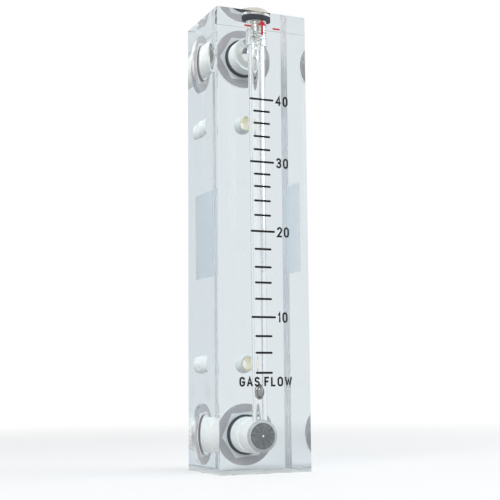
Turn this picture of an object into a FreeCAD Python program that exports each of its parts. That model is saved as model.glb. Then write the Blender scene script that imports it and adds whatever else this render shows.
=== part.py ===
"""Variable-area flow meter milled from one clear block: bored float path, stopped top plug,
two rear pipe adapters with seal rings and two threaded inserts for panel screws."""

import FreeCAD, Part
import math
import os

# Clear block. X runs across the scale, Y from front to back, Z from base to top.
block_width = 34.925
block_depth = 30.16
block_height = 165.1
edge_break = 0.12
rear_corner_bevel = 1.4

# Float path: a bore that widens upwards, with a small ledge that the ball rests on.
bore_inset = 7.94
ball_diameter = 5.556
ball_side_gap = 0.062
ledge_width = 0.09
ledge_height = 27.48
ball_rest_gap = 0.02
bore_top_diameter = 6.6
plug_bore_depth = 11.6

# Top plug with its hexagon, collar, seal ring and stop pin.
plug_thread_diameter = 7.94
plug_thread_end_depth = 7.0
plug_hex_flats = 10.3
plug_hex_height = 2.45
plug_hex_turn = 10.0
plug_collar_height = 0.45
plug_neck_diameter = 7.6
plug_gland_diameter = 11.0
plug_gland_depth = 2.1
plug_head_chamfer = 0.35
stop_pin_diameter = 1.5
stop_pin_grip = 3.0
stop_pin_rise = 0.4

# Rear sockets: counterbore, seal gland, thread and drilled hole, one at each end.
port_inset = 12.7
counterbore_diameter = 22.1
counterbore_depth = 1.75
gland_diameter = 14.3
gland_depth = 2.1
port_thread_diameter = 12.7
port_thread_reach = 11.0
tap_hole_diameter = 11.4
front_wall = 4.0
end_land_diameter = 9.2
end_chamfer_depth = 0.9
end_dimple_depth = 0.55
drill_point_angle = 118.0
cross_hole_diameter = 3.6

# Pipe adapters.
adapter_hex_flats = 15.875
adapter_hex_length = 6.35
adapter_neck_diameter = 10.9
adapter_neck_length = 2.3
adapter_bore_diameter = 7.0
adapter_hex_chamfer_angle = 30.0
seal_section_sides = 8
thread_end_chamfer = 0.5
pipe_thread_diameter = 8.74
pipe_thread_length = 8.0
pipe_mouth_chamfer = 0.7
inlet_hex_turn = 5.0
outlet_hex_turn = 0.0

# Threaded inserts for the two panel screws.
insert_inset = 38.1
insert_length = 6.35
insert_back_diameter = 6.8
insert_front_diameter = 5.4
insert_screw_diameter = 4.04
insert_band_count = 3
insert_groove_width = 0.55
insert_groove_depth = 0.35

# Printed scale: reading of each mark and its share of the way from the lowest to the highest.
lowest_mark_height = 34.55
scale_length = 97.75
scale_marks = (
    (4, 0.0), (6, 0.0711), (8, 0.1304), (10, 0.1985), (12, 0.2639), (14, 0.3228), (16, 0.3790),
    (18, 0.4445), (20, 0.5095), (22, 0.5683), (24, 0.6215), (26, 0.6747), (28, 0.7202),
    (30, 0.7657), (32, 0.8113), (34, 0.8604), (36, 0.9100), (38, 0.9550), (40, 1.0),
)
numbered_readings = (10, 20, 30, 40)
numbered_mark_length = 9.4
plain_mark_length = 6.5
mark_width = 0.75
mark_shift = 0.35
ink_thickness = 0.05

# Blank label on the right side face.
label_width = 18.45
label_height = 33.1
label_middle_height = 88.05
label_rear_inset = 1.53
label_thickness = 0.1

# Clearances between pieces of the assembly.
thread_gap = 0.06
seal_gap = 0.02
insert_gap = 0.03
seat_gap = 0.02

# How far a cutting shape runs past the face that it opens.
cut_overrun = 2.0

front_y = -block_depth / 2
back_y = block_depth / 2
bore_y = front_y + bore_inset
ball_radius = ball_diameter / 2
ledge_radius = ball_radius + ball_side_gap - ledge_width
ball_height = ledge_height + math.sqrt((ball_radius + ball_rest_gap) ** 2 - ledge_radius ** 2)
shoulder_height = block_height - plug_bore_depth
port_heights = {"inlet": port_inset, "outlet": block_height - port_inset}
hex_turns = {"inlet": inlet_hex_turn, "outlet": outlet_hex_turn}
insert_heights = {"lower": insert_inset, "upper": block_height - insert_inset}
counterbore_floor_y = back_y - counterbore_depth
gland_floor_y = counterbore_floor_y - gland_depth
thread_end_y = counterbore_floor_y - port_thread_reach


def turned_about_y(profile, height):
    """Solid of revolution about a front-to-back axis; profile points are (radius, y)."""
    points = [FreeCAD.Vector(radius, y, 0) for radius, y in profile]
    outline = Part.makePolygon(points + [points[0]])
    solid = Part.Face(outline).revolve(FreeCAD.Vector(0, 0, 0), FreeCAD.Vector(0, 1, 0), 360)
    solid.translate(FreeCAD.Vector(0, 0, height))
    return solid


def turned_about_z(profile, y):
    """Solid of revolution about an upright axis; profile points are (radius, z)."""
    points = [FreeCAD.Vector(radius, 0, z) for radius, z in profile]
    outline = Part.makePolygon(points + [points[0]])
    solid = Part.Face(outline).revolve(FreeCAD.Vector(0, 0, 0), FreeCAD.Vector(0, 0, 1), 360)
    solid.translate(FreeCAD.Vector(0, y, 0))
    return solid


def hexagon_corner(flats):
    """Distance from a hexagon's centre to its corners."""
    return flats / math.sqrt(3)


def upright_hexagon(flats, bottom, height, turn):
    """Hexagonal prism standing on z = bottom; with no turn one corner faces the front."""
    corner = hexagon_corner(flats)
    angles = [math.radians(turn - 90 + 60 * step) for step in range(7)]
    points = [FreeCAD.Vector(corner * math.cos(a), corner * math.sin(a), bottom) for a in angles]
    return Part.Face(Part.makePolygon(points)).extrude(FreeCAD.Vector(0, 0, height))


def squeezed_ring(inner, outer, bottom, top):
    """Seal ring pressed into a gland, flat on all four sides; it stands on z = bottom."""
    centre_radius = (inner + outer) / 4
    half_wall = (outer - inner) / 4
    half_height = (top - bottom) / 2
    middle = (top + bottom) / 2
    reach = 1 / math.cos(math.pi / seal_section_sides)
    angles = [math.pi * (2 * side + 1) / seal_section_sides for side in range(seal_section_sides)]
    return turned_about_z([
        (centre_radius + half_wall * reach * math.cos(angle),
         middle + half_height * reach * math.sin(angle))
        for angle in angles
    ], 0)


def front_to_back(shape, y, height, turn=0.0):
    """Lay a piece that was made upright so that its top faces the front."""
    shape.rotate(FreeCAD.Vector(0, 0, 0), FreeCAD.Vector(1, 0, 0), 90)
    shape.rotate(FreeCAD.Vector(0, 0, 0), FreeCAD.Vector(0, -1, 0), turn)
    shape.translate(FreeCAD.Vector(0, y, height))
    return shape


def float_path():
    """The float's tapered bore, its foot below the ledge and the plug's hole above it."""
    foot = ledge_radius
    seat = ball_radius + ball_side_gap
    top = bore_top_diameter / 2
    thread = plug_thread_diameter / 2 + thread_gap
    gland = plug_gland_diameter / 2
    gland_floor = block_height - plug_gland_depth
    return turned_about_z([
        (0, port_inset),
        (foot, port_inset),
        (foot, ledge_height),
        (seat, ledge_height),
        (top, shoulder_height),
        (thread, shoulder_height),
        (thread, gland_floor),
        (gland, gland_floor),
        (gland, block_height + cut_overrun),
        (0, block_height + cut_overrun),
    ], bore_y)


def socket_mouth():
    """The part of a rear socket that both ends share, from the back face to the thread's end."""
    return [
        (0, back_y + cut_overrun),
        (counterbore_diameter / 2, back_y + cut_overrun),
        (counterbore_diameter / 2, counterbore_floor_y),
        (gland_diameter / 2, counterbore_floor_y),
        (gland_diameter / 2, gland_floor_y),
        (port_thread_diameter / 2 + thread_gap, gland_floor_y),
        (port_thread_diameter / 2 + thread_gap, thread_end_y),
        (tap_hole_diameter / 2, thread_end_y),
    ]


def inlet_socket():
    """Lower socket: the drilled hole runs on under the float path to a chamfered, dimpled end."""
    end_y = front_y + front_wall
    return turned_about_y(socket_mouth() + [
        (tap_hole_diameter / 2, end_y + end_chamfer_depth),
        (end_land_diameter / 2, end_y),
        (0, end_y - end_dimple_depth),
    ], port_heights["inlet"])


def outlet_socket():
    """Upper socket: the drill point ends behind the float path, and a small hole joins them."""
    height = port_heights["outlet"]
    point_depth = tap_hole_diameter / 2 / math.tan(math.radians(drill_point_angle / 2))
    socket = turned_about_y(socket_mouth() + [(0, thread_end_y - point_depth)], height)
    cross_start = FreeCAD.Vector(0, bore_y, height)
    cross_length = thread_end_y - bore_y
    cross = Part.makeCylinder(
        cross_hole_diameter / 2, cross_length, cross_start, FreeCAD.Vector(0, 1, 0))
    return socket.fuse(cross)


def insert_profile(gap):
    """Outline of a tapered insert from its axis, or of its hole when the gap is added."""
    return [
        (0, back_y),
        (insert_back_diameter / 2 + gap, back_y),
        (insert_front_diameter / 2 + gap, back_y - insert_length - gap),
        (0, back_y - insert_length - gap),
    ]


def bevelled_block():
    """Block with its rear right corner bevelled and every edge broken."""
    corner = FreeCAD.Vector(-block_width / 2, front_y, 0)
    block = Part.makeBox(block_width, block_depth, block_height, corner)
    rear_right = FreeCAD.Vector(block_width / 2, back_y, block_height / 2)
    edges = [edge for edge in block.Edges if edge.CenterOfMass.isEqual(rear_right, edge_break)]
    block = block.makeChamfer(rear_corner_bevel, edges)
    return block.makeChamfer(edge_break, block.Edges)


def meter_body():
    block = bevelled_block()
    cuts = [float_path(), inlet_socket(), outlet_socket()]
    for height in insert_heights.values():
        cuts.append(turned_about_y(insert_profile(insert_gap), height))
    for tool in cuts:
        block = block.cut(tool)
    return block


def float_ball():
    return Part.makeSphere(ball_radius, FreeCAD.Vector(0, bore_y, ball_height))


def top_plug():
    """Hexagon head on a round collar, a neck for the seal ring and a threaded stem."""
    collar_radius = plug_gland_diameter / 2 - thread_gap
    head_bottom = block_height + seat_gap
    collar_bottom = head_bottom - plug_collar_height
    neck_bottom = block_height - plug_gland_depth
    stem_bottom = block_height - plug_thread_end_depth
    neck = plug_neck_diameter / 2
    stem = plug_thread_diameter / 2
    turned = turned_about_z([
        (0, stem_bottom),
        (stem - thread_end_chamfer, stem_bottom),
        (stem, stem_bottom + thread_end_chamfer),
        (stem, neck_bottom),
        (neck, neck_bottom),
        (neck, collar_bottom),
        (collar_radius, collar_bottom),
        (collar_radius, head_bottom),
        (0, head_bottom),
    ], 0)
    head = upright_hexagon(plug_hex_flats, head_bottom, plug_hex_height, plug_hex_turn)
    corner = hexagon_corner(plug_hex_flats)
    head_top = head_bottom + plug_hex_height
    crown = turned_about_z([
        (0, head_bottom),
        (corner, head_bottom),
        (corner, head_top - plug_head_chamfer),
        (corner - 2 * plug_head_chamfer, head_top),
        (0, head_top),
    ], 0)
    plug = turned.fuse(head.common(crown)).removeSplitter()
    pin_hole = Part.makeCylinder(
        stop_pin_diameter / 2, stop_pin_grip, FreeCAD.Vector(0, 0, stem_bottom))
    plug = plug.cut(pin_hole)
    plug.translate(FreeCAD.Vector(0, bore_y, 0))
    return plug


def float_stop_pin():
    """Pin pressed into the plug's stem; its end stops the ball at the top of the bore."""
    bottom = shoulder_height + stop_pin_rise
    top = block_height - plug_thread_end_depth + stop_pin_grip
    base = FreeCAD.Vector(0, bore_y, bottom)
    return Part.makeCylinder(stop_pin_diameter / 2, top - bottom, base)


def top_plug_seal():
    ring = squeezed_ring(
        plug_neck_diameter + 2 * seal_gap,
        plug_gland_diameter - 2 * seal_gap,
        block_height - plug_gland_depth + seal_gap,
        block_height + seat_gap - plug_collar_height - seal_gap)
    ring.translate(FreeCAD.Vector(0, bore_y, 0))
    return ring


def pipe_adapter(end):
    """Hexagon with a pipe thread in its back, a neck for the seal ring and a threaded stem."""
    neck = adapter_neck_diameter / 2
    stem = port_thread_diameter / 2
    bore = adapter_bore_diameter / 2
    stem_length = port_thread_reach - thread_gap
    pipe = pipe_thread_diameter / 2
    turned = turned_about_z([
        (bore, 0),
        (neck, 0),
        (neck, adapter_neck_length),
        (stem, adapter_neck_length + stem - neck),
        (stem, stem_length - thread_end_chamfer),
        (stem - thread_end_chamfer, stem_length),
        (bore, stem_length),
    ], 0)
    corner = hexagon_corner(adapter_hex_flats)
    flat = adapter_hex_flats / 2
    bevel = (corner - flat) * math.tan(math.radians(adapter_hex_chamfer_angle))
    head = upright_hexagon(adapter_hex_flats, -adapter_hex_length, adapter_hex_length, 0)
    crown = turned_about_z([
        (bore, -adapter_hex_length),
        (flat, -adapter_hex_length),
        (corner, bevel - adapter_hex_length),
        (corner, 0),
        (bore, 0),
    ], 0)
    adapter = head.common(crown).fuse(turned).removeSplitter()
    thread_floor = pipe_thread_length - adapter_hex_length
    mouth = turned_about_z([
        (0, -adapter_hex_length - cut_overrun),
        (pipe + pipe_mouth_chamfer, -adapter_hex_length - cut_overrun),
        (pipe + pipe_mouth_chamfer, -adapter_hex_length),
        (pipe, pipe_mouth_chamfer - adapter_hex_length),
        (pipe, thread_floor),
        (bore, thread_floor + pipe - bore),
        (0, thread_floor + pipe - bore),
    ], 0)
    adapter = adapter.cut(mouth)
    return front_to_back(
        adapter, counterbore_floor_y + seat_gap, port_heights[end], hex_turns[end])


def adapter_seal(end):
    ring = squeezed_ring(
        adapter_neck_diameter + 2 * seal_gap,
        gland_diameter - 2 * seal_gap,
        seal_gap,
        gland_depth - seal_gap)
    return front_to_back(ring, counterbore_floor_y, port_heights[end])


def mounting_insert(place):
    """Tapered insert with ring grooves that lock it in the block, tapped right through."""
    height = insert_heights[place]
    insert = turned_about_y(insert_profile(0), height)
    slope = (insert_back_diameter - insert_front_diameter) / 2 / insert_length
    pitch = insert_length / insert_band_count
    for groove in range(1, insert_band_count):
        y = back_y - groove * pitch
        outer = insert_back_diameter / 2 - slope * groove * pitch
        cutter = turned_about_y([
            (outer - insert_groove_depth, y - insert_groove_width / 2),
            (insert_back_diameter, y - insert_groove_width / 2),
            (insert_back_diameter, y + insert_groove_width / 2),
            (outer - insert_groove_depth, y + insert_groove_width / 2),
        ], height)
        insert = insert.cut(cutter)
    screw_start = FreeCAD.Vector(0, back_y - insert_length, height)
    screw_hole = Part.makeCylinder(
        insert_screw_diameter / 2, insert_length, screw_start, FreeCAD.Vector(0, 1, 0))
    return insert.cut(screw_hole)


def scale_print():
    """One flat bar with round ends for each mark, longer where the reading has a number."""
    bars = []
    face_y = front_y - seat_gap - ink_thickness
    for reading, share in scale_marks:
        height = lowest_mark_height + share * scale_length
        numbered = reading in numbered_readings
        length = numbered_mark_length if numbered else plain_mark_length
        straight = length - mark_width
        left = -mark_shift - straight / 2
        corner = FreeCAD.Vector(left, face_y, height - mark_width / 2)
        bar = Part.makeBox(straight, ink_thickness, mark_width, corner)
        for x in (left, left + straight):
            end = FreeCAD.Vector(x, face_y, height)
            bar = bar.fuse(Part.makeCylinder(
                mark_width / 2, ink_thickness, end, FreeCAD.Vector(0, 1, 0)))
        bars.append(bar.removeSplitter())
    return Part.makeCompound(bars)


def side_label():
    """Thin blank film on the right side face, near its rear edge."""
    corner = FreeCAD.Vector(
        block_width / 2 + seat_gap,
        back_y - label_rear_inset - label_width,
        label_middle_height - label_height / 2)
    return Part.makeBox(label_thickness, label_width, label_height, corner)


def build():
    pieces = {
        "meter_body": meter_body(),
        "float_ball": float_ball(),
        "top_plug": top_plug(),
        "float_stop_pin": float_stop_pin(),
        "top_plug_seal": top_plug_seal(),
        "scale_marks": scale_print(),
        "side_label": side_label(),
    }
    for end in port_heights:
        pieces[end + "_adapter"] = pipe_adapter(end)
        pieces[end + "_seal"] = adapter_seal(end)
    for place in insert_heights:
        pieces["mounting_insert_" + place] = mounting_insert(place)
    return pieces


def export(pieces):
    os.makedirs("parts", exist_ok=True)
    for name, shape in pieces.items():
        shape.exportStep("parts/" + name + ".step")
        print(name, len(shape.Solids), "solid(s)", round(shape.Volume, 2), "mm3")


export(build())
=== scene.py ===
import math
from contextlib import contextmanager

import bmesh
import bpy
import numpy as np
from mathutils import Matrix, Vector


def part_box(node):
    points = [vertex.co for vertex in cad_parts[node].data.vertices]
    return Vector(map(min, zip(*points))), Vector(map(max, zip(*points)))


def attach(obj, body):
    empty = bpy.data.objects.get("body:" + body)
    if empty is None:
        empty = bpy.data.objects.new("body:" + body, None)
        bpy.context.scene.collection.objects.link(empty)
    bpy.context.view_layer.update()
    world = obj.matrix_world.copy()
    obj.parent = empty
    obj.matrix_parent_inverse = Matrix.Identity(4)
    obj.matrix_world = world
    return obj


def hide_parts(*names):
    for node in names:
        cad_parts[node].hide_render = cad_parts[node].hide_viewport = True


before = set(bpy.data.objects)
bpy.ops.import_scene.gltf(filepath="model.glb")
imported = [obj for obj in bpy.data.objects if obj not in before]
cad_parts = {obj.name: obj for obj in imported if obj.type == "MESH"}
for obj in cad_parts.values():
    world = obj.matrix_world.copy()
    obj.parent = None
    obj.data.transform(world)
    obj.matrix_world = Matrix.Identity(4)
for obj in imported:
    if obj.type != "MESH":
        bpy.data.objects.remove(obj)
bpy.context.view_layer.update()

scene = bpy.context.scene
print("frame loaded, nodes:", len(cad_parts))

mm = 0.001

# points nearer than a gap are joined, edges shorter than a sliver are taken out, and an edge is
# crisp where its faces meet at more than an angle in degrees
joining = {
    "cadGap": 0.002 * mm,
    "gridGap": 0.001 * mm,
    "cutGap": 0.0001 * mm,
    "gridSliver": 0.0001 * mm,
    "inkSliver": 0.00001 * mm,
    "pieceAngle": 28.0,
    "blockAngle": 12.0,
    "sealAngle": 60.0,
}


def middle(node):
    # middle of a CAD node's box
    low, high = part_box(node)
    return [(a + b) / 2 for a, b in zip(low, high)]


def addObject(name, data):
    piece = bpy.data.objects.new(name, data)
    scene.collection.objects.link(piece)
    return piece


@contextmanager
def editing(mesh):
    # opens a mesh for editing and writes it back at the end
    bm = bmesh.new()
    bm.from_mesh(mesh)
    yield bm
    bm.to_mesh(mesh)
    bm.free()


def markSharp(bm, sharpAngle):
    # smooth everywhere, crisp where two faces meet at more than the given angle in degrees
    limit = math.radians(sharpAngle)
    for face in bm.faces:
        face.smooth = True
    for edge in bm.edges:
        edge.smooth = len(edge.link_faces) == 2 and edge.calc_face_angle(math.tau) < limit


def joinedCopy(node, name, sharpAngle=joining["pieceAngle"]):
    # a CAD node's loose triangles joined up, smooth on its rounds and crisp at its edges
    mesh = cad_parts[node].data.copy()
    mesh.name = name
    with editing(mesh) as bm:
        bmesh.ops.remove_doubles(bm, verts=bm.verts, dist=joining["cadGap"])
        markSharp(bm, sharpAngle)
    if "custom_normal" in mesh.attributes:
        mesh.attributes.remove(mesh.attributes["custom_normal"])
    mesh.update()
    piece = addObject(name, mesh)
    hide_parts(node)
    return piece


def gridQuads(rows, turns, first=0):
    # four-cornered faces of a grid whose turns close on themselves; its points are numbered
    # row by row from the first
    index = first + np.arange(rows * turns).reshape(rows, turns)
    after = np.roll(index, -1, axis=1)
    return np.stack([index[:-1], index[1:], after[1:], after[:-1]], axis=-1).reshape(-1, 4)


def gridMesh(name, points, slots=None):
    # points[i, j] is profile point i at turn j; a row on the axis closes to one pole, because
    # its doubles are merged; slots give each face's finish
    mesh = bpy.data.meshes.new(name)
    mesh.from_pydata(points.reshape(-1, 3), [], gridQuads(*points.shape[:2]))
    if slots is not None:
        mesh.polygons.foreach_set("material_index", slots.astype(np.int32))
    with editing(mesh) as bm:
        bmesh.ops.remove_doubles(bm, verts=bm.verts, dist=joining["gridGap"])
        bmesh.ops.dissolve_degenerate(bm, edges=bm.edges, dist=joining["gridSliver"])
        bmesh.ops.recalc_face_normals(bm, faces=bm.faces)
        markSharp(bm, joining["pieceAngle"])
    return mesh


def turned(radius, along, axis, centre, turns):
    # surface of revolution: (r(i, j) cos t, r(i, j) sin t) about an axis, at along(i);
    # axis "y" runs front to back with t from +X towards +Z, axis "z" runs up
    t = np.arange(turns) * 2 * np.pi / turns
    count = len(radius)
    radius, along = (np.broadcast_to(np.asarray(value, float).reshape(count, -1), (count, turns))
                     for value in (radius, along))
    if axis == "y":
        parts = (radius * np.cos(t) + centre[0], along, radius * np.sin(t) + centre[1])
    else:
        parts = (radius * np.cos(t) + centre[0], radius * np.sin(t) + centre[1], along)
    return np.stack(parts, axis=-1)


threadShape = {
    "peak": 1.25,
    "slope": 4.0,
}


def threadGroove(start, end, pitch, depth, perTurn, turns):
    # evenly spaced rows along a thread, and the groove's depth at (row, turn): a V of the phase
    # (y / pitch - t / 2 pi), peak - slope * |phase - 1/2| kept between 0 and 1, which blunts its
    # point; it fades out over one pitch at both ends, so that the thread closes on plain rings
    rows = np.linspace(start, end, int(round(abs(end - start) / pitch * perTurn)) + 1)
    t = np.arange(turns) / turns
    phase = (rows[:, None] / pitch - t[None, :]) % 1.0
    groove = np.clip(threadShape["peak"] - threadShape["slope"] * np.abs(phase - 0.5), 0, 1)
    fromEnd = np.minimum(np.abs(rows - start), np.abs(rows - end))
    return rows, depth * groove * np.clip(fromEnd / pitch, 0, 1)[:, None]


def carve(piece, cutters):
    # takes closed shapes off a piece, one after the other, and clears them away
    holders = [addObject(mesh.name, mesh) for mesh in cutters]
    for holder in holders:
        cut = piece.modifiers.new(holder.name, "BOOLEAN")
        cut.operation = "DIFFERENCE"
        cut.solver = "EXACT"
        cut.object = holder
    bpy.context.view_layer.update()
    result = piece.evaluated_get(bpy.context.evaluated_depsgraph_get())
    carved = bpy.data.meshes.new_from_object(result)
    piece.modifiers.clear()
    carved.name = piece.name
    piece.data = carved
    for holder, mesh in zip(holders, cutters):
        bpy.data.objects.remove(holder)
        bpy.data.meshes.remove(mesh)


def dress(piece, materials, body):
    # materials go into their slots one by one, because clearing the slots would put every face
    # back to the first
    while len(piece.data.materials) > len(materials):
        piece.data.materials.pop()
    while len(piece.data.materials) < len(materials):
        piece.data.materials.append(None)
    for number, material in enumerate(materials):
        piece.data.materials[number] = material
    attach(piece, body)


class Nodes:
    # short way to set up the node tree of a material or of the world
    def __init__(self, owner, output="OutputMaterial"):
        owner.use_nodes = True
        self.owner = owner
        self.tree = owner.node_tree
        self.tree.nodes.clear()
        self.output = self.add(output)

    def add(self, kind, values=None, **settings):
        node = self.tree.nodes.new("ShaderNode" + kind)
        for key, value in settings.items():
            setattr(node, key, value)
        for socket, value in (values or {}).items():
            node.inputs[socket].default_value = value
        return node

    def link(self, start, end):
        self.tree.links.new(start, end)

    def math(self, operation, a, b=0.0):
        node = self.add("Math", operation=operation)
        for socket, value in zip(node.inputs, (a, b)):
            if isinstance(value, (int, float)):
                socket.default_value = value
            else:
                self.link(value, socket)
        return node.outputs[0]

    def noise(self, vector, scale, detail=3.0, roughness=0.5):
        node = self.add("TexNoise", {"Scale": scale, "Detail": detail, "Roughness": roughness})
        self.link(vector, node.inputs["Vector"])
        return node.outputs[0]

    def point(self):
        # place on the piece, in Object coordinates
        return self.add("TexCoord").outputs["Object"]

    def stretched(self, scale):
        mapping = self.add("Mapping", {"Scale": scale})
        self.link(self.point(), mapping.inputs["Vector"])
        return mapping.outputs[0]

    def shades(self, value, color, spread, reach):
        # the colour, darker and lighter by the same share, while the value runs from
        # 0.5 - reach to 0.5 + reach
        node = self.add("ValToRGB")
        for element, sign in zip(node.color_ramp.elements, (-1, 1)):
            element.position = 0.5 + sign * reach
            element.color = (*(min(1, c * (1 + sign * spread)) for c in color), 1)
        self.link(value, node.inputs["Fac"])
        return node.outputs[0]

    def bump(self, height, strength, distance):
        node = self.add("Bump", {"Strength": strength, "Distance": distance})
        self.link(height, node.inputs["Height"])
        return node.outputs[0]

    def mix(self, share, first, second):
        node = self.add("MixShader")
        for socket, value in zip(node.inputs, (share, first.outputs[0], second.outputs[0])):
            self.link(value, socket)
        return node

    def surface(self, shader):
        self.link(shader.outputs[0], self.output.inputs["Surface"])
        return self.owner


def newMaterial(name):
    return Nodes(bpy.data.materials.new(name))


acrylic = {
    "ior": 1.49,
    "absorbColor": (0.6375, 0.722, 0.7625, 1.0),
    "absorbDensity": 27.0,
    "shadowTint": (0.90, 0.93, 0.94, 1.0),
    # the mill, drill and chamfer greys here are painted shade on opaque cut faces, standing in for
    # darker surroundings seen through frosted acrylic
    "millShade": (0.52, 0.475, 0.485),
    "seatColor": (0.93, 0.93, 0.92),
    "tappedColor": (0.97, 0.97, 0.96),
    "drillShade": (0.125, 0.135, 0.14),
    "chamferShade": (0.45, 0.47, 0.48),
}


def makeClearAcrylic():
    # clear cast acrylic: smooth refraction with a faint blue tint that grows with the depth
    m = newMaterial("clearAcrylic")
    glass = m.add("BsdfPrincipled", {"Base Color": (1, 1, 1, 1), "Roughness": 0.0,
                                     "IOR": acrylic["ior"], "Transmission Weight": 1.0})
    passLight = m.add("BsdfTransparent", {"Color": acrylic["shadowTint"]})
    absorb = m.add("VolumeAbsorption", {"Color": acrylic["absorbColor"],
                                        "Density": acrylic["absorbDensity"]})
    m.link(absorb.outputs[0], m.output.inputs["Volume"])
    rays = m.add("LightPath")
    return m.surface(m.mix(rays.outputs["Is Shadow Ray"], glass, passLight))


toolMark = {
    "ringDetail": 2.0,
    "streakScale": 4.0,
    "streakDetail": 5.0,
    "streakRoughness": 0.75,
    "streakBreaks": 60.0,
    "milledContrast": 0.15,
    "milledReach": 0.2,
    "milledBump": (0.3, 0.05 * mm),
    "cutReach": 0.14,
    "cutBump": (0.5, 0.1 * mm),
    "cutRoughness": 0.5,
    "cutGloss": 0.3,
}


def portRadius(m):
    # distance from the nearer port's axis and the angle round it, from Object coordinates: the
    # ports lie equally far above and below the block's middle
    low, high = middle("inlet_adapter"), middle("outlet_adapter")
    centre, reach = (low[2] + high[2]) / 2, (high[2] - low[2]) / 2
    split = m.add("SeparateXYZ")
    m.link(m.point(), split.inputs[0])
    x, z = split.outputs["X"], split.outputs["Z"]
    fromPort = m.math("SUBTRACT", m.math("ABSOLUTE", m.math("SUBTRACT", z, centre)), reach)
    radius = m.math("SQRT", m.math("ADD", m.math("MULTIPLY", x, x),
                                   m.math("MULTIPLY", fromPort, fromPort)))
    angle = m.math("ARCTAN2", fromPort, x)
    return radius, angle


def toolMarks(m, ringStep, streak):
    # tool marks round a port: fine rings by distance, broken by streaks that follow the angle
    radius, angle = portRadius(m)
    rings = m.add("TexNoise", {"Scale": 1.0, "Detail": toolMark["ringDetail"]},
                  noise_dimensions="1D")
    m.link(m.math("DIVIDE", radius, ringStep), rings.inputs["W"])
    join = m.add("CombineXYZ")
    m.link(m.math("COSINE", angle), join.inputs[0])
    m.link(m.math("SINE", angle), join.inputs[1])
    m.link(m.math("MULTIPLY", radius, toolMark["streakBreaks"]), join.inputs[2])
    around = m.noise(join.outputs[0], toolMark["streakScale"], toolMark["streakDetail"],
                     toolMark["streakRoughness"])
    return m.math("ADD", m.math("MULTIPLY", rings.outputs[0], 1 - streak),
                  m.math("MULTIPLY", around, streak))


def makeMilled(name, color, roughness, ringStep, streak):
    # a cut face left frosted by the tool: rough refraction, tinted, with tool marks
    m = newMaterial(name)
    amount = toolMarks(m, ringStep, streak)
    shader = m.add("BsdfPrincipled", {"Roughness": roughness, "IOR": acrylic["ior"],
                                      "Transmission Weight": 1.0})
    shade = m.shades(amount, color, toolMark["milledContrast"], toolMark["milledReach"])
    m.link(shade, shader.inputs["Base Color"])
    m.link(m.bump(amount, *toolMark["milledBump"]), shader.inputs["Normal"])
    return m.surface(shader)


def makePaintedShadeFace(name, color, ringStep, streak, contrast):
    # a face torn matt by the tool that cut it, darker and lighter along the tool marks; it is
    # opaque, and its grey is painted shade standing in for the darker surroundings seen through
    # frosted acrylic
    m = newMaterial(name)
    amount = toolMarks(m, ringStep, streak)
    shader = m.add("BsdfPrincipled", {"Roughness": toolMark["cutRoughness"],
                                      "Specular IOR Level": toolMark["cutGloss"]})
    m.link(m.shades(amount, color, contrast, toolMark["cutReach"]), shader.inputs["Base Color"])
    m.link(m.bump(amount, *toolMark["cutBump"]), shader.inputs["Normal"])
    return m.surface(shader)


metal = {
    "grainDetail": 4.0,
    "grainRoughness": 0.6,
    "broadScale": 90.0,
    "broadDetail": 2.0,
    "fineShare": 0.6,
    "toneReach": 0.15,
    "roughSpread": 0.12,
    "bump": 0.35,
}


def makeMetal(name, color, roughness, grain=(300, 300, 300), wear=0.08, bumpSize=0.02 * mm):
    # machined metal: fine grain stretched along one axis changes both tone and roughness
    m = newMaterial(name)
    fine = m.noise(m.stretched(grain), 1.0, metal["grainDetail"], metal["grainRoughness"])
    broad = m.noise(m.point(), metal["broadScale"], metal["broadDetail"])
    tone = m.math("ADD", m.math("MULTIPLY", fine, metal["fineShare"]),
                  m.math("MULTIPLY", broad, 1 - metal["fineShare"]))
    rough = m.math("ADD", m.math("MULTIPLY", fine, metal["roughSpread"]),
                   roughness - metal["roughSpread"] / 2)
    shader = m.add("BsdfPrincipled", {"Metallic": 1.0})
    m.link(m.shades(tone, color, wear, metal["toneReach"]), shader.inputs["Base Color"])
    m.link(rough, shader.inputs["Roughness"])
    m.link(m.bump(fine, metal["bump"], bumpSize), shader.inputs["Normal"])
    return m.surface(shader)


coat = {
    "toneReach": 0.2,
    "roughSpread": 0.15,
    "roughDrop": 0.07,  # about half the spread, so that roughness stays near its own value
    "bump": 0.3,
}


def makeCoat(name, color, roughness, grainScale, spread, bumpSize=0.03 * mm, gloss=0.4):
    # ink, rubber, film, a matt pale face, or the pale coat whose colour is painted reflection:
    # slight mottling of the tone over a fine skin
    m = newMaterial(name)
    skin = m.noise(m.point(), grainScale)
    rough = m.math("ADD", m.math("MULTIPLY", skin, coat["roughSpread"]),
                   roughness - coat["roughDrop"])
    shader = m.add("BsdfPrincipled", {"Specular IOR Level": gloss})
    m.link(m.shades(skin, color, spread, coat["toneReach"]), shader.inputs["Base Color"])
    m.link(rough, shader.inputs["Roughness"])
    m.link(m.bump(skin, coat["bump"], bumpSize), shader.inputs["Normal"])
    return m.surface(shader)


clearAcrylic = makeClearAcrylic()
# the counterbore floor outside the hexagon: opaque grey with tool marks, painted shade for the
# darker surroundings seen through the frosted floor
paintedShadeFloor = makePaintedShadeFace("paintedShadeFloor", acrylic["millShade"],
                      ringStep=0.22 * mm, streak=0.35, contrast=0.12)
milledSeat = makeMilled("milledSeat", acrylic["seatColor"],
                        roughness=0.16, ringStep=0.22 * mm, streak=0.2)
tappedWall = makeMilled("tappedWall", acrylic["tappedColor"],
                        roughness=0.32, ringStep=0.6 * mm, streak=0.2)
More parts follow.
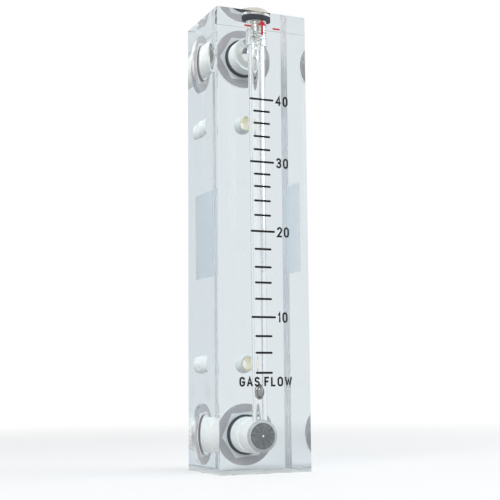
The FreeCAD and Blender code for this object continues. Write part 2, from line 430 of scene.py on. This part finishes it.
# the inlet's drilled end and its chamfer: opaque greys with tool marks, painted shade, darker on
# the end and lighter on the chamfer
paintedShadeDrillEnd = makePaintedShadeFace("paintedShadeDrillEnd", acrylic["drillShade"],
                     ringStep=0.5 * mm, streak=0.75, contrast=0.65)
paintedShadeChamfer = makePaintedShadeFace("paintedShadeChamfer", acrylic["chamferShade"],
                         ringStep=0.2 * mm, streak=0.3, contrast=0.4)
platedMetal = makeMetal("platedMetal", (0.80, 0.785, 0.745), roughness=0.30, grain=(900, 60, 900))
plugMetal = makeMetal("plugMetal", (0.55, 0.545, 0.49), roughness=0.24, grain=(700, 700, 60))
ballSteel = makeMetal("ballSteel", (0.30, 0.30, 0.29),
                      roughness=0.07, wear=0.04, bumpSize=0.002 * mm)
insertBrass = makeMetal("insertBrass", (0.88, 0.82, 0.60), roughness=0.26, grain=(900, 60, 900))
labelBack = makeCoat("labelBack", (0.97, 0.955, 0.965),
                     roughness=0.5, grainScale=160.0, spread=0.02, bumpSize=0.002 * mm)
sawnBevel = makeCoat("sawnBevel", (0.90, 0.82, 0.81),
                     roughness=0.6, grainScale=400.0, spread=0.04, gloss=0.1)
# opaque pale coat on the socket walls, the hexagon's seat, the drill tip, the insert holes and the
# bore's shoulder: painted reflection standing in for bright internal reflections in clear acrylic
paintedReflectionCoat = makeCoat("paintedReflectionCoat", (0.95, 0.93, 0.90),
                    roughness=0.5, grainScale=700.0, spread=0.04, gloss=0.2)
sealRubber = makeCoat("sealRubber", (0.016, 0.019, 0.028),
                      roughness=0.38, grainScale=900.0, spread=0.25)
sealTouch = makeCoat("sealTouch", (0.020, 0.027, 0.038),
                     roughness=0.55, grainScale=500.0, spread=0.2, gloss=0.03)
printInk = makeCoat("printInk", (0.004, 0.004, 0.005),
                    roughness=0.5, grainScale=1500.0, spread=0.2, bumpSize=0.005 * mm, gloss=0.2)
redInk = makeCoat("redInk", (0.42, 0.016, 0.028),
                  roughness=0.45, grainScale=1500.0, spread=0.08, bumpSize=0.005 * mm)
labelFilm = makeCoat("labelFilm", (0.60, 0.64, 0.67),
                     roughness=0.42, grainScale=700.0, spread=0.03, bumpSize=0.005 * mm)
print("materials made:", len(bpy.data.materials))

# the block's finishes, in the order of its material slots
blockFinishes = [clearAcrylic, paintedShadeFloor, paintedShadeDrillEnd, labelBack, milledSeat, paintedShadeChamfer,
                 sealTouch, tappedWall, sawnBevel, paintedReflectionCoat]

block = {
    "edgeBreak": 0.12 * mm,
    "rearBevel": 1.4 * mm,
    "portTurns": 144,
    "boreTurns": 112,
    "insertTurns": 80,
    "crossTurns": 64,
    "counterboreRadius": 11.05 * mm,
    "counterboreFloor": 13.33 * mm,
    "glandRadius": 7.15 * mm,
    "glandFloor": 11.23 * mm,
    "threadRadius": 6.41 * mm,
    "threadEnd": 2.33 * mm,
    "threadPitch": 1.27 * mm,
    "threadRipple": 0.22 * mm,  # ridge on the wall, where the adapter's thread meets it
    "threadRowsPerTurn": 14,
    "tapRadius": 5.7 * mm,
    "landRadius": 4.6 * mm,
    "landEnd": -11.08 * mm,
    "landChamfer": 0.9 * mm,
    "dimple": 0.55 * mm,
    "tipRadius": 0.35 * mm,
    "tipStart": 0.95,  # share of the dimple's depth
    "drillHalfAngle": 59.0,
    "crossRadius": 1.8 * mm,
    "hexFlats": 15.875 * mm,
    "hexTurns": {"inlet": 5.0, "outlet": 0.0},
    "insertRadii": (3.43 * mm, 2.73 * mm),
    "insertDepth": 6.38 * mm,
    "footRadius": 2.75 * mm,
    "ledgeHeight": 27.48 * mm,
    "seatRadius": 2.84 * mm,
    "boreTopRadius": 3.3 * mm,
    "shoulder": 153.5 * mm,
    "plugHoleRadius": 4.03 * mm,
    "plugGlandRadius": 5.5 * mm,
    "plugGlandDepth": 2.1 * mm,
    "plugThreadStart": 156.0 * mm,
    "plugThreadGap": 0.1 * mm,
    "plugPitch": 1.06 * mm,
    "plugRidge": 0.5 * mm,
    "plugRowsPerTurn": 12,
    "overrun": 2.0 * mm,  # how far a cutter runs past the face that it opens
    "flatFacing": 0.99,  # least part of a normal that faces straight right
    "bevelFacing": 0.6,  # least part of it that faces both right and back
}


def cutter(name, rows, axis, centre, turns):
    # rows of (radius, place along the axis, finish of the ring that follows), turned about it
    radius = np.stack([np.broadcast_to(row[0], turns) for row in rows])
    along = np.array([row[1] for row in rows])
    slots = np.repeat([blockFinishes.index(row[2]) for row in rows[:-1]], turns)
    return gridMesh(name, turned(radius, along, axis, centre, turns), slots)


def portCutter(end):
    # the socket's outline turned about its axis; one ring of the counterbore floor follows the
    # adapter's hexagon, so that
    # the floor carries painted shade outside it and a painted reflection of the lit hexagon inside
    # it:
    # r(t) = half flats / cos(angle to the middle of the nearest flat)
    turns = block["portTurns"]
    t = np.arange(turns) * 2 * np.pi / turns
    turn = math.radians(block["hexTurns"][end])
    fromFlat = (t - turn - math.pi / 2 + math.pi / 6) % (math.pi / 3) - math.pi / 6
    hexagon = block["hexFlats"] / 2 / np.cos(fromFlat)
    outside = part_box("meter_body")[1][1] + block["overrun"]
    floor, gland, threadEnd = block["counterboreFloor"], block["glandFloor"], block["threadEnd"]
    rows = [(0, outside, clearAcrylic),
            (block["counterboreRadius"], outside, tappedWall),
            (block["counterboreRadius"], floor, paintedShadeFloor),
            (hexagon, floor, paintedReflectionCoat),
            (block["glandRadius"], floor, sealTouch),
            (block["glandRadius"], gland, clearAcrylic),
            (block["threadRadius"], gland, paintedReflectionCoat)]
    ys, ripple = threadGroove(gland, threadEnd, block["threadPitch"], block["threadRipple"],
                              block["threadRowsPerTurn"], turns)
    rows += [(block["threadRadius"] - cut, y, paintedReflectionCoat) for y, cut in zip(ys[1:], ripple[1:])]
    if end == "inlet":
        land, dimple = block["landEnd"], block["dimple"]
        rows += [(block["tapRadius"], threadEnd, paintedReflectionCoat),
                 (block["tapRadius"], land + block["landChamfer"], paintedShadeChamfer),
                 (block["landRadius"], land, paintedShadeDrillEnd),
                 (block["tipRadius"], land - dimple * block["tipStart"], paintedReflectionCoat),
                 (0, land - dimple, paintedReflectionCoat)]
    else:
        depth = block["tapRadius"] / math.tan(math.radians(block["drillHalfAngle"]))
        rows += [(block["tapRadius"], threadEnd, milledSeat),
                 (0, threadEnd - depth, milledSeat)]
    return cutter("portCutter", rows, "y", (0, middle(end + "_adapter")[2]), turns)


def pathCutter():
    # the float's bore from its foot to the plug's seal seat: the radius grows evenly from the
    # ledge to the shoulder, and above it the wall carries the plug's thread
    ballX, ballY, _ = middle("float_ball")
    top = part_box("meter_body")[1][2]
    foot, outside = middle("inlet_adapter")[2], top + block["overrun"]
    hole, gland = block["plugHoleRadius"], block["plugGlandRadius"]
    glandFloor = top - block["plugGlandDepth"]
    rows = [(0, foot, clearAcrylic),
            (block["footRadius"], foot, clearAcrylic),
            (block["footRadius"], block["ledgeHeight"], clearAcrylic),
            (block["seatRadius"], block["ledgeHeight"], clearAcrylic),
            (block["boreTopRadius"], block["shoulder"], paintedReflectionCoat),
            (hole, block["shoulder"], clearAcrylic)]
    zs, ridge = threadGroove(block["plugThreadStart"], glandFloor - block["plugThreadGap"],
                             block["plugPitch"], block["plugRidge"], block["plugRowsPerTurn"],
                             block["boreTurns"])
    rows += [(hole - cut, z, clearAcrylic) for z, cut in zip(zs, ridge)]
    rows += [(hole, glandFloor, sealTouch),
             (gland, glandFloor, sealTouch),
             (gland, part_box("top_plug_seal")[1][2], clearAcrylic),
             (gland, outside, clearAcrylic),
             (0, outside, clearAcrylic)]
    return cutter("pathCutter", rows, "z", (ballX, ballY), block["boreTurns"])


def crossCutter():
    # small drilled hole from the bore to the upper socket
    ballY = middle("float_ball")[1]
    rows = [(0, ballY, clearAcrylic),
            (block["crossRadius"], ballY, clearAcrylic),
            (block["crossRadius"], block["threadEnd"], clearAcrylic),
            (0, block["threadEnd"], clearAcrylic)]
    return cutter("crossCutter", rows, "y", (0, middle("outlet_adapter")[2]), block["crossTurns"])


def insertCutter(place):
    # blind hole that holds a threaded insert: the radius falls evenly from the back face in
    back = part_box("meter_body")[1][1]
    outside, end = back + block["overrun"], back - block["insertDepth"]
    wide, narrow = block["insertRadii"]
    lip = wide + (wide - narrow) * block["overrun"] / block["insertDepth"]
    rows = [(0, outside, paintedReflectionCoat), (lip, outside, paintedReflectionCoat),
            (narrow, end, clearAcrylic), (0, end, clearAcrylic)]
    height = middle("mounting_insert_" + place)[2]
    return cutter("insertCutter", rows, "y", (0, height), block["insertTurns"])


def outerBlock():
    # the plain block: rear right corner bevelled, the label's place marked on the right face
    low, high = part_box("meter_body")
    bm = bmesh.new()
    bmesh.ops.create_cube(bm, size=1.0)
    for vert in bm.verts:
        vert.co = Vector([a + (c + 0.5) * (b - a) for a, b, c in zip(low, high, vert.co)])
    rear = [e for e in bm.edges if all(v.co.x > 0 and v.co.y > 0 for v in e.verts)]
    bmesh.ops.bevel(bm, geom=rear, offset=block["rearBevel"], segments=1, affect="EDGES")
    bmesh.ops.bevel(bm, geom=list(bm.edges), offset=block["edgeBreak"], segments=1,
                    affect="EDGES")
    labelLow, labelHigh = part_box("side_label")
    for axis in (1, 2):
        normal = Vector([float(a == axis) for a in range(3)])
        for edge in (labelLow[axis], labelHigh[axis]):
            side = [f for f in bm.faces if f.normal.x > block["flatFacing"]]
            edges = dict.fromkeys(e for f in side for e in f.edges)  # each once, in order
            verts = dict.fromkeys(v for f in side for v in f.verts)
            bmesh.ops.bisect_plane(bm, geom=[*side, *edges, *verts],
                                   plane_co=normal * edge, plane_no=normal)
    for face in bm.faces:
        centre = face.calc_center_median()
        under = all(labelLow[a] < centre[a] < labelHigh[a] for a in (1, 2))
        finish = clearAcrylic
        if face.normal.x > block["flatFacing"] and under:
            finish = labelBack
        elif min(face.normal.x, face.normal.y) > block["bevelFacing"]:
            finish = sawnBevel
        face.material_index = blockFinishes.index(finish)
    mesh = bpy.data.meshes.new("clearBlock")
    bm.to_mesh(mesh)
    bm.free()
    return mesh


def makeBlock():
    # the plain block with the path, sockets and insert holes taken out; each face that is cut
    # keeps the finish of its cutter's face
    piece = addObject("clearBlock", outerBlock())
    cutters = [pathCutter(), portCutter("inlet"), portCutter("outlet"), crossCutter(),
               insertCutter("lower"), insertCutter("upper")]
    for mesh in [piece.data, *cutters]:
        for material in blockFinishes:
            mesh.materials.append(material)
    carve(piece, cutters)
    with editing(piece.data) as bm:
        bmesh.ops.remove_doubles(bm, verts=bm.verts, dist=joining["cutGap"])
        bmesh.ops.triangulate(bm, faces=[f for f in bm.faces if len(f.verts) > 4])
        markSharp(bm, joining["blockAngle"])
        openEdges = sum(1 for e in bm.edges if len(e.link_faces) != 2)
    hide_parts("meter_body")
    dress(piece, blockFinishes, "meter")
    finish = np.array([f.material_index for f in piece.data.polygons])
    print("faces by finish:", np.bincount(finish, minlength=len(blockFinishes)).tolist())
    print("block carved, faces:", len(finish), "open edges:", openEdges)


makeBlock()

fitting = {
    "adapterCrest": 6.35 * mm,
    "adapterThread": (2.3 * mm, 11.0 * mm),
    "adapterDepth": 0.6 * mm,
    "plugCrest": 3.97 * mm,
    "plugThread": (158.2 * mm, 162.9 * mm),
    "plugDepth": 0.55 * mm,
    "tubeOverCrest": 1.15,  # outer radius of the cutting tube over the crest's
    "crestClear": 0.01 * mm,
    "sameRadius": 0.0001 * mm,
    "rowsPerTurn": 12,
    "ballRows": 65,
    "ballTurns": 128,
}


def cutThread(piece, axis, centre, crest, span, pitch, depth):
    # a tube whose inner wall carries the thread, r = crest - depth * groove, taken off the stem;
    # where there is no groove the wall stands just clear of the crest
    start, end = span
    turns = block["boreTurns"]
    rows, groove = threadGroove(start, end, pitch, depth, fitting["rowsPerTurn"], turns)
    inner = crest - groove
    inner += fitting["crestClear"] * (inner > crest - fitting["sameRadius"])
    outer = np.full((1, turns), crest * fitting["tubeOverCrest"])
    radius = np.concatenate([outer, inner, outer, outer])
    along = np.concatenate([[start], rows, [end, start]])
    carve(piece, [gridMesh("threadCutter", turned(radius, along, axis, centre, turns))])
    with editing(piece.data) as bm:
        bmesh.ops.remove_doubles(bm, verts=bm.verts, dist=joining["cutGap"])
        markSharp(bm, joining["pieceAngle"])


def makeBall():
    # a full sphere: r sin(u) round the axis, r cos(u) down it, with u from pole to pole
    low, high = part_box("float_ball")
    centre = middle("float_ball")
    radius = (high[2] - low[2]) / 2
    u = np.linspace(0, np.pi, fitting["ballRows"])
    points = turned(radius * np.sin(u), centre[2] - radius * np.cos(u), "z", centre[:2],
                    fitting["ballTurns"])
    piece = addObject("floatBall", gridMesh("floatBall", points))
    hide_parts("float_ball")
    dress(piece, [ballSteel], "float")


def dressSeal(node, name):
    dress(joinedCopy(node, name, joining["sealAngle"]), [sealRubber], "meter")


makeBall()
topPlug = joinedCopy("top_plug", "topPlug")
cutThread(topPlug, "z", middle("float_ball")[:2], fitting["plugCrest"], fitting["plugThread"],
          block["plugPitch"], fitting["plugDepth"])
dress(topPlug, [plugMetal], "meter")
dress(joinedCopy("float_stop_pin", "stopPin"), [plugMetal], "meter")
for end in ("inlet", "outlet"):
    adapter = joinedCopy(end + "_adapter", end + "Adapter")
    cutThread(adapter, "y", (0, middle(end + "_adapter")[2]), fitting["adapterCrest"],
              fitting["adapterThread"], block["threadPitch"], fitting["adapterDepth"])
    dress(adapter, [platedMetal], "meter")
    dressSeal(end + "_seal", end + "Seal")
dressSeal("top_plug_seal", "plugSeal")
for place in ("lower", "upper"):
    insert = joinedCopy("mounting_insert_" + place, place + "Insert")
    dress(insert, [insertBrass], "meter")
dress(joinedCopy("scale_marks", "scaleMarks"), [printInk], "meter")
dress(joinedCopy("side_label", "sideLabel"), [labelFilm], "meter")
print("fittings dressed")

scale = {
    "numeralHeight": 3.75 * mm,
    "numeralLeft": 5.15 * mm,
    "legend": {"GAS": -9.8 * mm, "FLOW": -0.4 * mm},
    "legendFoot": 29.8 * mm,
    "legendHeight": 3.4 * mm,
    "letterGap": 0.64 * mm,
    "strokeWidth": 0.65 * mm,
    "endRunOn": 0.6,  # share of half a stroke's width
    "sharpestTurn": 0.42,  # least cosine of half a turn
    "numerals": ("10", "20", "30", "40"),
    "barEndDepth": 0.4 * mm,  # how near the furthest left end a numbered bar reaches
    "barsApart": 5.0 * mm,
    "widths": {"0": 2.05 * mm, "1": 1.05 * mm, "2": 2.05 * mm, "3": 2.05 * mm, "4": 2.2 * mm,
               "G": 2.15 * mm, "A": 2.25 * mm, "S": 2.05 * mm, "F": 1.9 * mm, "L": 1.85 * mm,
               "O": 2.2 * mm, "W": 2.8 * mm},
    "arrowCentre": (0.2 * mm, 159.2 * mm),
    "arrowHeight": 5.8 * mm,
    "arrowWidth": 3.6 * mm,
    "headShare": 0.62,  # length of the arrow's head over its width
    "stemWidth": 0.8 * mm,
    "barSpan": (4.2 * mm, 7.0 * mm),
    "lineWidth": 0.62 * mm,
    "inkDepth": 0.05 * mm,
}


def arc(x, y, wide, high, start, end, steps=14):
    # part of an ellipse: (x + wide cos a, y + high sin a), a in degrees from start to end
    a = np.radians(np.linspace(start, end, steps))
    return list(zip(x + wide * np.cos(a), y + high * np.sin(a)))


def loop():
    # narrow ring: half circles joined by straight sides
    return arc(0.5, 0.7, 0.5, 0.3, 0, 180) + arc(0.5, 0.3, 0.5, 0.3, 180, 360) + [(1.0, 0.7)]


# each character's strokes in a unit box, as rows of points along the middle of the line
strokes = {
    "0": [loop()],
    "1": [[(0.0, 0.78), (0.85, 1.0), (0.85, 0.0)]],
    "2": [arc(0.5, 0.72, 0.5, 0.28, 165, -25) + [(0.0, 0.0), (1.0, 0.0)]],
    "3": [arc(0.48, 0.75, 0.47, 0.25, 160, -90) + arc(0.48, 0.26, 0.52, 0.26, 90, -160)],
    "4": [[(0.76, 0.0), (0.76, 1.0), (0.0, 0.3), (1.0, 0.3)]],
    "G": [arc(0.5, 0.7, 0.5, 0.3, 20, 180) + arc(0.5, 0.3, 0.5, 0.3, 180, 360)
          + [(1.0, 0.46), (0.58, 0.46)]],
    "A": [[(0.0, 0.0), (0.5, 1.0), (1.0, 0.0)], [(0.2, 0.3), (0.8, 0.3)]],
    "S": [arc(0.5, 0.75, 0.47, 0.25, 25, 270) + arc(0.5, 0.25, 0.5, 0.25, 90, -155)],
    "F": [[(0.0, 0.0), (0.0, 1.0), (1.0, 1.0)], [(0.0, 0.52), (0.85, 0.52)]],
    "L": [[(0.0, 1.0), (0.0, 0.0), (1.0, 0.0)]],
    "O": [loop()],
    "W": [[(0.0, 1.0), (0.25, 0.0), (0.5, 0.8), (0.75, 0.0), (1.0, 1.0)]],
}


def strokeRibbon(line, half):
    # a line of even width: each point moved sideways by half the width over the cosine of half
    # the turn there, kept short at sharp turns; open ends run on a little and close to a point
    tiny = 1e-6
    keep = np.append(True, np.linalg.norm(np.diff(line, axis=0), axis=1) > tiny)
    line = line[keep]
    closed = np.linalg.norm(line[0] - line[-1]) < tiny
    step = np.diff(line, axis=0)
    along = step / np.linalg.norm(step, axis=1)[:, None]
    if closed:
        before, after = np.vstack([along[-1:], along]), np.vstack([along, along[:1]])
    else:
        line[0] -= along[0] * half * scale["endRunOn"]
        line[-1] += along[-1] * half * scale["endRunOn"]
        before, after = np.vstack([along[:1], along]), np.vstack([along, along[-1:]])
    middleWay = before + after
    middleWay /= np.maximum(np.linalg.norm(middleWay, axis=1)[:, None], tiny)
    cosine = np.clip(np.sum(middleWay * after, axis=1), scale["sharpestTurn"], 1.0)
    side = np.stack([-middleWay[:, 1], middleWay[:, 0]], axis=-1) * (half / cosine)[:, None]
    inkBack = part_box("scale_marks")[1][1]
    front = inkBack - scale["inkDepth"]
    points = np.empty((len(line), 4, 3))
    for corner, (sign, depth) in enumerate(((1, front), (-1, front), (-1, inkBack), (1, inkBack))):
        points[:, corner, 0] = line[:, 0] + sign * side[:, 0]
        points[:, corner, 1] = depth
        points[:, corner, 2] = line[:, 1] + sign * side[:, 1]
    if not closed:
        first, last = (np.repeat(end.mean(axis=1, keepdims=True), 4, axis=1)
                       for end in (points[:1], points[-1:]))
        points = np.concatenate([first, points, last])
    return points


def printedText(name, words, left, foot, height):
    # printed words: every character's strokes, set side by side and joined in one mesh
    half = scale["strokeWidth"] / 2
    corners, quads, used = [], [], 0
    for letter in words:
        wide = scale["widths"][letter]
        for line in strokes[letter]:
            unit = np.asarray(line)
            place = np.stack([left + half + unit[:, 0] * (wide - 2 * half),
                              foot + half + unit[:, 1] * (height - 2 * half)], axis=-1)
            points = strokeRibbon(place, half)
            quads.append(gridQuads(*points.shape[:2], first=used))
            corners.append(points.reshape(-1, 3))
            used += len(corners[-1])
        left += wide + scale["letterGap"]
    mesh = bpy.data.meshes.new(name)
    mesh.from_pydata(np.concatenate(corners), [], np.concatenate(quads))
    with editing(mesh) as bm:
        bmesh.ops.remove_doubles(bm, verts=bm.verts, dist=joining["cutGap"])
        bmesh.ops.dissolve_degenerate(bm, edges=bm.edges, dist=joining["inkSliver"])
        bmesh.ops.recalc_face_normals(bm, faces=bm.faces)
    dress(addObject(name, mesh), [printInk], "meter")


def markHeights():
    # heights of the numbered marks: the four bars that reach furthest left
    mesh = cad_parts["scale_marks"].data
    points = np.empty(len(mesh.vertices) * 3)
    mesh.vertices.foreach_get("co", points)
    points = points.reshape(-1, 3)
    leftEnd = points[:, 0].min() + scale["barEndDepth"]
    ends = np.sort(points[points[:, 0] < leftEnd, 2])
    groups = np.split(ends, np.flatnonzero(np.diff(ends) > scale["barsApart"]) + 1)
    return [float(group.mean()) for group in groups]


def printFace():
    heights = markHeights()
    print("numbered marks at", [round(h / mm, 2) for h in heights])
    for words, height in zip(scale["numerals"], heights):
        printedText("numeral" + words, words, scale["numeralLeft"],
                    height - scale["numeralHeight"] / 2, scale["numeralHeight"])
    for words, left in scale["legend"].items():
        printedText("legend" + words, words, left, scale["legendFoot"], scale["legendHeight"])


def redShape(name, outline):
    # a flat printed shape: its outline in (x, z), filled and given the ink's depth
    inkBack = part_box("scale_marks")[1][1]
    outline = np.asarray(outline)
    count = len(outline)
    depth = np.full(count, inkBack - scale["inkDepth"])
    front = np.stack([outline[:, 0], depth, outline[:, 1]], axis=-1)
    rear = front + np.array([0, scale["inkDepth"], 0])
    ring = np.arange(count)
    after = np.roll(ring, -1)
    faces = [list(ring), list(ring[::-1] + count)]
    faces += [[a, b, b + count, a + count] for a, b in zip(ring, after)]
    mesh = bpy.data.meshes.new(name)
    mesh.from_pydata(np.concatenate([front, rear]), [], faces)
    with editing(mesh) as bm:
        bmesh.ops.recalc_face_normals(bm, faces=bm.faces)
        bmesh.ops.triangulate(bm, faces=bm.faces)
    dress(addObject(name, mesh), [redInk], "meter")


def printArrow():
    # a plain red arrow that points up the bore, the way the gas flows, between two short bars
    x, z = scale["arrowCentre"]
    up, wide = scale["arrowHeight"] / 2, scale["arrowWidth"] / 2
    stem, line = scale["stemWidth"] / 2, scale["lineWidth"] / 2
    neck = z + up - scale["arrowWidth"] * scale["headShare"]
    redShape("flowArrow", [(x, z + up), (x + wide, neck), (x + stem, neck), (x + stem, z - up),
                           (x - stem, z - up), (x - stem, neck), (x - wide, neck)])
    for side, name in ((-1, "arrowBarLeft"), (1, "arrowBarRight")):
        near, far = (x + side * span for span in scale["barSpan"])
        redShape(name, [(near, z - line), (far, z - line), (far, z + line), (near, z + line)])


printFace()
printArrow()
print("front face printed")

studio = {
    "white": (1, 1, 1, 1),
    "fillColor": (0.92, 0.94, 0.96, 1),
    "fillStrength": 0.55,
    "floorReach": 4.0,
    "floorColor": (0.90, 0.90, 0.90, 1),
    "floorRoughness": 0.8,
    "floorGloss": 0.1,
    "floorGlow": 0.04,
    "floorNear": 0.16,
    "floorFar": 0.55,
    "lampSize": 0.8,
    "lampTarget": (0, 0, 0.08),
    "lamps": {"keyLamp": (9.0, (-0.7, -0.7, 0.9)), "fillLamp": (5.0, (0.9, -0.3, 0.6))},
    "bounces": 32,
    "glossyBounces": 16,
}


def makeWorld():
    # white wherever it is seen straight, in metal or through the block, and a softer fill for
    # the light that falls on the surfaces
    m = Nodes(bpy.data.worlds.new("studio"), "OutputWorld")
    seen = m.add("Background", {"Color": studio["white"], "Strength": 1.0})
    fill = m.add("Background", {"Color": studio["fillColor"], "Strength": studio["fillStrength"]})
    rays = m.add("LightPath").outputs
    direct = m.math("MAXIMUM", rays["Is Camera Ray"], rays["Is Glossy Ray"])
    anySeen = m.math("MAXIMUM", direct, rays["Is Transmission Ray"])
    scene.world = m.surface(m.mix(anySeen, fill, seen))


def makeFloor():
    # pale floor that takes the object's shadow close by and turns pure white further out
    far = studio["floorReach"]
    mesh = bpy.data.meshes.new("floor")
    mesh.from_pydata([(-far, -far, 0), (far, -far, 0), (far, far, 0), (-far, far, 0)],
                     [], [(0, 1, 2, 3)])
    m = newMaterial("paleFloor")
    lit = m.add("BsdfPrincipled", {"Base Color": studio["floorColor"],
                                   "Roughness": studio["floorRoughness"],
                                   "Specular IOR Level": studio["floorGloss"],
                                   "Emission Color": studio["white"],
                                   "Emission Strength": studio["floorGlow"]})
    white = m.add("Emission", {"Color": studio["white"], "Strength": 1.0})
    distance = m.add("VectorMath", operation="LENGTH")
    m.link(m.point(), distance.inputs[0])
    fade = m.add("MapRange", {"From Min": studio["floorNear"], "From Max": studio["floorFar"]},
                 interpolation_type="SMOOTHSTEP")
    m.link(distance.outputs["Value"], fade.inputs["Value"])
    mesh.materials.append(m.surface(m.mix(fade.outputs[0], lit, white)))
    addObject("floor", mesh)


def addLamp(name, power, place):
    lamp = bpy.data.lights.new(name, "AREA")
    lamp.size = studio["lampSize"]
    lamp.energy = power
    holder = addObject(name, lamp)
    holder.location = place
    holder.rotation_mode = "QUATERNION"
    aim = Vector(studio["lampTarget"]) - Vector(place)
    holder.rotation_quaternion = aim.to_track_quat("-Z", "Y")


# the camera's place in metres, its turn, tilt and roll in degrees, and its lens in millimetres
view = {
    "place": (-0.1539, -0.3600, 0.0297),
    "turn": -23.30,
    "tilt": 7.25,
    "roll": -0.52,
    "lens": 77.52,
    "sensor": 36.0,
    "clipStart": 0.01,
}


def makeCamera():
    camera = bpy.data.cameras.new("camera")
    camera.lens = view["lens"]
    camera.sensor_width = view["sensor"]
    camera.clip_start = view["clipStart"]
    holder = addObject("camera", camera)
    turn = Matrix.Rotation(math.radians(view["turn"]), 4, "Z")
    tilt = Matrix.Rotation(math.radians(90 + view["tilt"]), 4, "X")
    roll = Matrix.Rotation(math.radians(view["roll"]), 4, "Z")
    holder.matrix_world = Matrix.Translation(view["place"]) @ turn @ tilt @ roll
    scene.camera = holder


makeWorld()
makeFloor()
for name, (power, place) in studio["lamps"].items():
    addLamp(name, power, place)
makeCamera()
scene.view_settings.view_transform = "Standard"
scene.cycles.max_bounces = studio["bounces"]
scene.cycles.transmission_bounces = studio["bounces"]
scene.cycles.transparent_max_bounces = studio["bounces"]
scene.cycles.glossy_bounces = studio["glossyBounces"]
print("studio ready")
